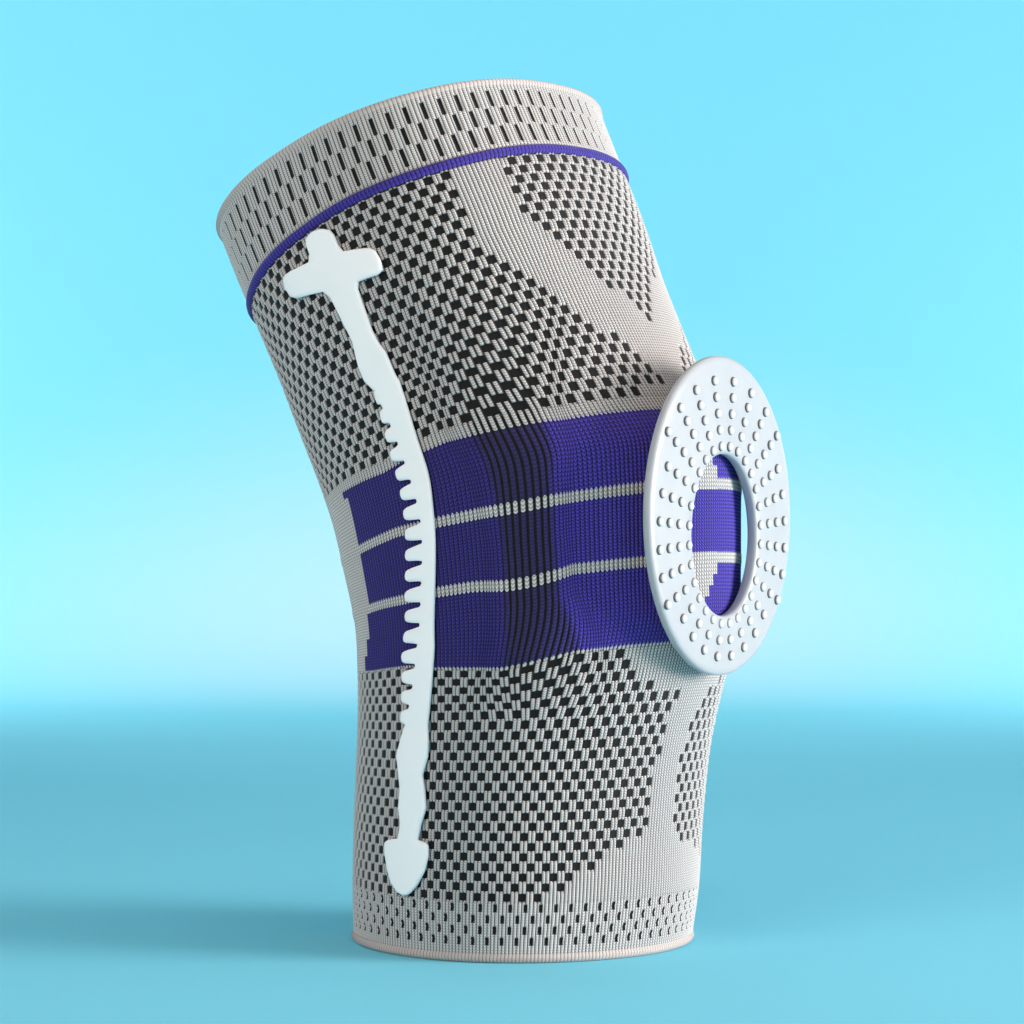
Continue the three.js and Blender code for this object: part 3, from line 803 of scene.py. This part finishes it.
def yarn_finish(tree, shader, paint, height):
    """Colour, hairy sheen and bump of knitted nylon."""
    tree.links.new(first_output(paint), shader.inputs["Base Color"])
    shader.inputs["Roughness"].default_value = 0.86
    shader.inputs["Specular IOR Level"].default_value = 0.3
    shader.inputs["Sheen Weight"].default_value = 0.12
    shader.inputs["Sheen Roughness"].default_value = 0.5
    bump = put(tree, "ShaderNodeBump", {"Strength": 0.7, "Distance": 0.00035, "Height": height})
    tree.links.new(bump.outputs[0], shader.inputs["Normal"])


# Lit and shaded colours of each yarn: the stitches mix between them as painted highlight on the loops and
# painted shade in the grooves.
GREY_LIT, GREY_GROOVE_SHADE = "#dedbda", "#201e22"
VIOLET_LIT, VIOLET_GROOVE_SHADE = "#5848c6", "#100b30"
VIOLET_SIDE_SHADE, VIOLET_PULLED, WELT_LIT = "#3d3190", "#2a2638", "#4738a6"
RIM_LIT, RIM_GROOVE_SHADE = "#c3b9b6", "#6b6462"
BLACK_YARN = "#111113"
# A row has three courses this far, in rows, from the middle of the violet, and four beyond.
BANDS_HALF = 10.6
LINE_HALF = 0.22

knit_grey, tree, shader = new_material("knitted_nylon_and_elastane")
knit_map = put(tree, "ShaderNodeUVMap", uv_map="knit")
split = put(tree, "ShaderNodeSeparateXYZ", (knit_map,))
wale, row = split.outputs[0], split.outputs[1]
mesh_here = put(tree, "ShaderNodeAttribute", attribute_name="mesh").outputs["Fac"]
violet_here = put(tree, "ShaderNodeAttribute", attribute_name="violet").outputs["Fac"]
fan_here = put(tree, "ShaderNodeAttribute", attribute_name="fan").outputs["Fac"]
centre = put(tree, MATH, (row, -(VIOLET_ROWS[0] + VIOLET_ROWS[1]) / 2), operation="ADD")
from_centre = put(tree, MATH, (centre,), operation="ABSOLUTE")
banded = put(tree, MATH, (from_centre, BANDS_HALF), operation="LESS_THAN")
courses = put(tree, MATH, (4, banded), operation="SUBTRACT")
course = put(tree, MATH, (row, courses), operation="MULTIPLY")
across, stroke, groove = stitches(tree, wale, course)

# Tips of the loops bite this far, in rows, into the next colour.
square = put(tree, MATH, (across, across), operation="MULTIPLY")
tip = put(tree, MATH, (square, -0.10, 0.11), operation="MULTIPLY_ADD")
bite = put(tree, MATH, (square, -0.34, 0.30), operation="MULTIPLY_ADD")

cell = put(tree, MATH, (put(tree, MATH, (wale, 0.5), operation="MULTIPLY"),), operation="FLOOR")
line = put(tree, MATH, (row,), operation="FLOOR")
number = put(tree, MATH, (cell, line), operation="ADD")
half_number = put(tree, MATH, (put(tree, MATH, (number, 0.5), operation="MULTIPLY"),), operation="FRACT")
even = put(tree, MATH, (half_number, 0.25), operation="LESS_THAN")
row_part = put(tree, MATH, (row,), operation="FRACT")
from_middle = put(tree, MATH, (put(tree, MATH, (row_part, -0.5), operation="ADD"),), operation="ABSOLUTE")
from_edge = put(tree, MATH, (0.5, from_middle), operation="SUBTRACT")
cell_part = put(tree, MATH, (put(tree, MATH, (wale, 0.5), operation="MULTIPLY"),), operation="FRACT")
cell_across = put(tree, MATH, (put(tree, MATH, (cell_part, 2, -1), operation="MULTIPLY_ADD"),),
                  operation="ABSOLUTE")
corner = put(tree, MATH, (cell_across, 7), operation="POWER")
rounded = put(tree, MATH, (corner, 0.16, tip), operation="MULTIPLY_ADD")
clear_of_tips = put(tree, MATH, (from_edge, rounded), operation="GREATER_THAN")
in_mesh = put(tree, MATH, (mesh_here, 0.5), operation="GREATER_THAN")
black = put(tree, MATH, (put(tree, MATH, (even, clear_of_tips), operation="MULTIPLY"), in_mesh),
            operation="MULTIPLY")

# Violet between its first and last row, without the two grey lines.
above = put(tree, MATH, (put(tree, MATH, (row, bite), operation="SUBTRACT"), VIOLET_ROWS[0]),
            operation="GREATER_THAN")
below = put(tree, MATH, (put(tree, MATH, (row, bite), operation="ADD"), VIOLET_ROWS[1]),
            operation="LESS_THAN")
violet = put(tree, MATH, (above, below), operation="MULTIPLY")
for start in LINE_ROWS:
    away = put(tree, MATH, (put(tree, MATH, (row, -start - 0.5), operation="ADD"),), operation="ABSOLUTE")
    clear = put(tree, MATH, (put(tree, MATH, (away, bite), operation="SUBTRACT"), LINE_HALF),
                operation="GREATER_THAN")
    violet = put(tree, MATH, (violet, clear), operation="MULTIPLY")
in_violet = put(tree, MATH, (violet_here, 0.5), operation="GREATER_THAN")
violet = put(tree, MATH, (violet, in_violet), operation="MULTIPLY")

wide_groove = put(tree, RANGE, {"Value": across, "From Min": 0.42, "From Max": 0.78},
                  interpolation_type="SMOOTHSTEP")
fan_groove = put(tree, MATH, (wide_groove, fan_here), operation="MULTIPLY")
deep_groove = put(tree, MATH, (groove, fan_groove), operation="MAXIMUM")

# Painted light and shade: lighter slanted strokes on the loops, and painted shade in the grooves between
# the ribs, wider where the fan pulls the wales apart.
open_groove = put(tree, MATH, (deep_groove, -0.85, 1), operation="MULTIPLY_ADD")
grey_light = put(tree, MATH, (stroke, 0.65, 0.35), operation="MULTIPLY_ADD")
grey_light = put(tree, MATH, (grey_light, open_groove), operation="MULTIPLY")
grey = put(tree, MIX, {0: grey_light, 6: colour(GREY_GROOVE_SHADE), 7: colour(GREY_LIT)}, data_type="RGBA")
violet_light = put(tree, MATH, (stroke, 0.9, 0.1), operation="MULTIPLY_ADD")
violet_light = put(tree, MATH, (violet_light, open_groove), operation="MULTIPLY")
# The violet is painted darker towards the sides of the leg, by the wale's distance from the front: painted
# shade.
from_front = put(tree, MATH, (put(tree, MATH, (wale, -WALES / 2), operation="ADD"),), operation="ABSOLUTE")
side = put(tree, RANGE, {"Value": from_front, "From Min": 40, "From Max": 50},
           interpolation_type="SMOOTHSTEP")
violet_lit_and_side_shade = put(tree, MIX, {0: side, 6: colour(VIOLET_LIT), 7: colour(VIOLET_SIDE_SHADE)},
                 data_type="RGBA")
violet_paint = put(tree, MIX, {0: violet_light, 6: colour(VIOLET_GROOVE_SHADE), 7: violet_lit_and_side_shade},
                   data_type="RGBA")
paint = put(tree, MIX, {0: violet, 6: grey, 7: violet_paint}, data_type="RGBA")
dull = put(tree, MATH, (fan_here, 0.6), operation="MULTIPLY")
dull = put(tree, MATH, (dull, violet), operation="MULTIPLY")
paint = put(tree, MIX, {0: dull, 6: paint, 7: colour(VIOLET_PULLED)}, data_type="RGBA")
paint = put(tree, MIX, {0: fan_groove, 6: paint, 7: colour(BLACK_YARN)}, data_type="RGBA")
paint = put(tree, MIX, {0: black, 6: paint, 7: colour(BLACK_YARN)}, data_type="RGBA")
rib = put(tree, MATH, (square, -0.6, 0.6), operation="MULTIPLY_ADD")
height = put(tree, MATH, (stroke, 0.5, rib), operation="MULTIPLY_ADD")
height = put(tree, MATH, (height, put(tree, MATH, (1, black), operation="SUBTRACT")), operation="MULTIPLY")
yarn_finish(tree, shader, paint, height)

# %% [markdown]
# ## Cuffs and welt
# The cuffs use the same grey nylon, with slots where a wale is left out for a few courses,
# and their rims are plain. The welt is violet nylon.

# %% Cuff and welt materials
def cuff_material(name, slots, courses):
    """Grey nylon with black slots and a plain rim. A row of slots has this many courses."""
    material, tree, shader = new_material(name)
    split = put(tree, "ShaderNodeSeparateXYZ", (put(tree, "ShaderNodeUVMap", uv_map="knit"),))
    wale, count = split.outputs[0], split.outputs[1]
    outer = put(tree, "ShaderNodeAttribute", attribute_name="outer").outputs["Fac"]
    course = put(tree, MATH, (count, courses), operation="MULTIPLY")
    across, stroke, groove = stitches(tree, wale, course)
    line = put(tree, MATH, (count,), operation="FLOOR")
    half = put(tree, MATH, (put(tree, MATH, (line, 0.5), operation="MULTIPLY"),), operation="FRACT")
    moved = put(tree, MATH, (half, 4, wale), operation="MULTIPLY_ADD")
    quarter = put(tree, MATH, (put(tree, MATH, (moved, 0.25), operation="MULTIPLY"),), operation="FRACT")
    off = put(tree, MATH, (put(tree, MATH, (quarter, -0.5), operation="ADD"),), operation="ABSOLUTE")
    wide = put(tree, MATH, (off, 4), operation="MULTIPLY")
    part = put(tree, MATH, (put(tree, MATH, (count,), operation="FRACT"), -0.5), operation="ADD")
    long = put(tree, MATH, (put(tree, MATH, (part,), operation="ABSOLUTE"), 1 / slots["half"]),
               operation="MULTIPLY")
    across_slot = put(tree, MATH, (wide, 0.50), operation="LESS_THAN")
    along_slot = put(tree, MATH, (long, 1.0), operation="LESS_THAN")
    first = put(tree, MATH, (count, 0), operation="GREATER_THAN")
    last = put(tree, MATH, (count, slots["count"]), operation="LESS_THAN")
    black = put(tree, MATH, (across_slot, along_slot), operation="MULTIPLY")
    for limit in (first, last, put(tree, MATH, (outer, 0.5), operation="GREATER_THAN")):
        black = put(tree, MATH, (black, limit), operation="MULTIPLY")
    # Painted light and shade: lighter strokes on the loops and painted shade in the grooves, on the body
    # of the cuff and on its rim.
    light = put(tree, MATH, (stroke, 0.6, 0.4), operation="MULTIPLY_ADD")
    light = put(tree, MATH, (light, put(tree, MATH, (groove, -0.85, 1), operation="MULTIPLY_ADD")),
                operation="MULTIPLY")
    grey = put(tree, MIX, {0: light, 6: colour(GREY_GROOVE_SHADE), 7: colour(GREY_LIT)}, data_type="RGBA")
    rim_light = put(tree, MATH, (groove, -0.7, 1), operation="MULTIPLY_ADD")
    rim = put(tree, MIX, {0: rim_light, 6: colour(RIM_GROOVE_SHADE), 7: colour(RIM_LIT)}, data_type="RGBA")
    paint = put(tree, MIX, {0: outer, 6: rim, 7: grey}, data_type="RGBA")
    paint = put(tree, MIX, {0: black, 6: paint, 7: colour(BLACK_YARN)}, data_type="RGBA")
    square = put(tree, MATH, (across, across), operation="MULTIPLY")
    rib = put(tree, MATH, (square, -0.6, 0.6), operation="MULTIPLY_ADD")
    height = put(tree, MATH, (stroke, 0.3, rib), operation="MULTIPLY_ADD")
    yarn_finish(tree, shader, paint, height)
    return material


upper_knit = cuff_material("cuff_nylon_upper", UPPER_SLOTS, 9)
lower_knit = cuff_material("cuff_nylon_lower", LOWER_SLOTS, 4)

welt_nylon, tree, shader = new_material("violet_nylon_welt")
split = put(tree, "ShaderNodeSeparateXYZ", (put(tree, "ShaderNodeUVMap", uv_map="knit"),))
course = put(tree, MATH, (split.outputs[1], 2), operation="MULTIPLY")
across, stroke, groove = stitches(tree, split.outputs[0], course)
# Painted light and shade: lighter strokes on the loops and painted shade in the grooves of the welt.
light = put(tree, MATH, (stroke, 0.5, 0.5), operation="MULTIPLY_ADD")
light = put(tree, MATH, (light, put(tree, MATH, (1, groove), operation="SUBTRACT")), operation="MULTIPLY")
paint = put(tree, MIX, {0: light, 6: colour(VIOLET_GROOVE_SHADE), 7: colour(WELT_LIT)}, data_type="RGBA")
square = put(tree, MATH, (across, across), operation="MULTIPLY")
yarn_finish(tree, shader, paint, put(tree, MATH, (square, -0.6, 0.6), operation="MULTIPLY_ADD"))

# %% [markdown]
# ## Silicone and plastic
# The ring is platinum-cured silicone, milky because light scatters in it, with a satin skin.
# The domes are the same rubber with a wetter skin, painted dark grey at the foot and light at the top as
# painted shade and painted reflection. The stays are moulded nylon, white and matt, and a very fine grain
# from the mould breaks their shine.

# %% Silicone and plastic materials
silicone, tree, shader = new_material("milky_silicone")
place_of = put(tree, "ShaderNodeTexCoord").outputs["Object"]
cloud = put(tree, "ShaderNodeTexNoise", {"Vector": place_of, "Scale": 60, "Detail": 2})
paint = put(tree, MIX, {0: cloud.outputs[0], 6: colour("#a0a4aa"), 7: colour("#abafb3")}, data_type="RGBA")
tree.links.new(first_output(paint), shader.inputs["Base Color"])
shader.inputs["Roughness"].default_value = 0.38
shader.inputs["IOR"].default_value = 1.41
shader.inputs["Subsurface Weight"].default_value = 0.3
shader.inputs["Subsurface Radius"].default_value = (0.004, 0.004, 0.0045)
shader.inputs["Subsurface Scale"].default_value = 1.0

dome_silicone, tree, shader = new_material("clear_silicone_domes")
rise_here = put(tree, "ShaderNodeAttribute", attribute_name="dome").outputs["Fac"]
# Painted shade and painted reflection: each dome is dark grey at its foot and light at its top.
dome_painted_highlight = put(tree, RANGE, {"Value": rise_here, "From Min": 0.3, "From Max": 0.88},
          interpolation_type="SMOOTHSTEP")
paint = put(tree, MIX, {0: dome_painted_highlight, 6: colour("#565a61"), 7: colour("#d6d9dc")}, data_type="RGBA")
tree.links.new(first_output(paint), shader.inputs["Base Color"])
shader.inputs["Roughness"].default_value = 0.14
shader.inputs["IOR"].default_value = 1.41

plastic, tree, shader = new_material("moulded_white_nylon")
place_of = put(tree, "ShaderNodeTexCoord").outputs["Object"]
grain = put(tree, "ShaderNodeTexNoise", {"Vector": place_of, "Scale": 900, "Detail": 3})
cloud = put(tree, "ShaderNodeTexNoise", {"Vector": place_of, "Scale": 45, "Detail": 2})
paint = put(tree, MIX, {0: cloud.outputs[0], 6: colour("#f4f4f6"), 7: colour("#fafafb")}, data_type="RGBA")
tree.links.new(first_output(paint), shader.inputs["Base Color"])
shader.inputs["Roughness"].default_value = 0.48
shader.inputs["IOR"].default_value = 1.53
bump = put(tree, "ShaderNodeBump", {"Strength": 0.15, "Distance": 0.0001, "Height": grain.outputs[0]})
tree.links.new(bump.outputs[0], shader.inputs["Normal"])

# %% [markdown]
# ## Dressing the pieces
# Each piece gets its material, rides on the one body of the part and stands for its solid.

# %% Dress
DRESS = [
    (knit_calf, knit_grey, "grey_knit", ("knit_body",)),
    (knit_knee, knit_grey, "violet_knit", ("knit_body",)),
    (knit_thigh, knit_grey, "grey_knit", ("knit_body",)),
    (cuff_upper, upper_knit, "grey_knit", ("upper_cuff",)),
    (cuff_lower, lower_knit, "grey_knit", ("lower_cuff",)),
    (violet_roll, welt_nylon, "violet_knit", ("violet_welt",)),
    (silicone_ring, silicone, "silicone", ("patella_ring",)),
    (ring_domes, dome_silicone, "silicone", ("patella_ring",)),
    (stay_left, plastic, "white_plastic", ("side_stay_left",)),
    (stay_right, plastic, "white_plastic", ("side_stay_right",)),
]
for piece, material, slot, nodes in DRESS:
    piece.data.materials.clear()
    piece.data.materials.append(material)
    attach(piece, "root")
    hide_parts(*nodes)
print("pieces:", len(DRESS))

# %% [markdown]
# ## Studio
# The sleeve stands on a pale blue floor that curves up into a wall all round, so that no horizon shows
# from any side. The floor is painted paler round a spot behind the sleeve, a painted pool of light, more
# saturated blue further out and pale grey far away. Large soft lights stand for a light tent: the main one
# in front of the knee, which is to the right of the camera, and a weaker one on the other side.

# %% Floor and lights
FLOOR_START, FLOOR_RADIUS, FLOOR_CURVE, WALL_HEIGHT = 0.3, 2.6, 1.2, 2.6
bpy.ops.object.select_all(action="DESELECT")
bpy.ops.mesh.primitive_circle_add(vertices=96, radius=FLOOR_START, fill_type="NGON")
studio_floor = bpy.context.active_object
studio_floor.name = "studio_floor"
bpy.ops.object.mode_set(mode="EDIT")
bpy.ops.mesh.select_all(action="SELECT")
bpy.ops.mesh.inset(thickness=0.05)
bpy.ops.mesh.select_all(action="DESELECT")
bpy.ops.mesh.select_non_manifold()
flat_end = FLOOR_RADIUS - FLOOR_CURVE
rise = [(flat_end, 0)]
rise += [(flat_end + FLOOR_CURVE * math.sin(a), FLOOR_CURVE - FLOOR_CURVE * math.cos(a))
         for a in np.linspace(0.12, math.pi / 2, 13)]
rise.append((FLOOR_RADIUS, WALL_HEIGHT))
radius, high = FLOOR_START, 0.0
for next_radius, next_high in rise:
    bpy.ops.mesh.extrude_region_move(TRANSFORM_OT_translate={"value": (0, 0, next_high - high)})
    bpy.ops.transform.resize(value=(next_radius / radius, next_radius / radius, 1))
    radius, high = next_radius, next_high
bpy.ops.mesh.select_all(action="SELECT")
bpy.ops.mesh.normals_make_consistent(inside=True)
bpy.ops.object.mode_set(mode="OBJECT")
bpy.ops.object.shade_smooth()
floor_paint, tree, shader = new_material("studio_floor")
place_of = put(tree, "ShaderNodeTexCoord").outputs["Object"]
# Painted pool of light: the floor is paler round a spot behind the sleeve and more saturated blue further
# out; far away it turns pale grey.
light_pool_middle = -view_back * 1.75 + Vector((0, 0, 0.05))
away = put(tree, "ShaderNodeVectorMath", (place_of, tuple(light_pool_middle)),
           operation="DISTANCE").outputs["Value"]
blend = put(tree, RANGE, {"Value": away, "From Min": 0.05, "From Max": 0.66},
            interpolation_type="SMOOTHSTEP")
paint = put(tree, MIX, {0: blend, 6: colour("#beeafc"), 7: colour("#80daf3")}, data_type="RGBA")
blend = put(tree, RANGE, {"Value": away, "From Min": 2.1, "From Max": 3.4},
            interpolation_type="SMOOTHSTEP")
paint = put(tree, MIX, {0: blend, 6: paint, 7: colour("#e2e9ea")}, data_type="RGBA")
tree.links.new(first_output(paint), shader.inputs["Base Color"])
shader.inputs["Roughness"].default_value = 0.9
shader.inputs["Specular IOR Level"].default_value = 0.1
studio_floor.data.materials.append(floor_paint)

world = bpy.data.worlds.new("studio")
bpy.context.scene.world = world
world.use_nodes = True
world.node_tree.nodes["Background"].inputs["Color"].default_value = colour("#fff6f0")
world.node_tree.nodes["Background"].inputs["Strength"].default_value = 0.25

view_right = Vector((math.cos(VIEW_AZIMUTH), math.sin(VIEW_AZIMUTH), 0))
middle = Vector((0, 0, 0.15))
LIGHTS = [  # name, place and aim as (right, towards the camera, up), size, watts, colour
    ("key", (1.5, 0.38, 0.1), (0, 0, -0.03), 0.8, 50, "#fff2ec"),
    ("fill", (-0.9, 1.3, 0.4), (0, 0, 0), 1.0, 12, "#ffe1cf"),
    ("top", (0.1, 0.1, 1.7), (0, 0, 0), 1.4, 6, "#ffece0"),
    ("wall_left", (-1.0, -1.3, 0.35), (-0.05, -2.6, -0.05), 0.7, 9, "#fff1e6"),
    ("wall_right", (1.0, -1.3, 0.35), (0.05, -2.6, -0.05), 0.7, 9, "#fff1e6"),
]


def studio_place(spot):
    """A place given along the camera's right, towards the camera and up."""
    right, near, up = spot
    return middle + view_right * right + view_back * near + Vector((0, 0, up))


for name, spot, aim, size, watts, tint in LIGHTS:
    data = bpy.data.lights.new(name, "AREA")
    data.shape = "DISK"
    data.size = size
    data.energy = watts
    data.color = colour(tint)[:3]
    lamp = bpy.data.objects.new(name, data)
    lamp.location = studio_place(spot)
    lamp.rotation_euler = (lamp.location - studio_place(aim)).to_track_quat("Z", "Y").to_euler()
    bpy.context.scene.collection.objects.link(lamp)

bpy.context.scene.view_settings.view_transform = "Standard"
bpy.context.scene.view_settings.look = "None"
bpy.context.scene.view_settings.exposure = 0
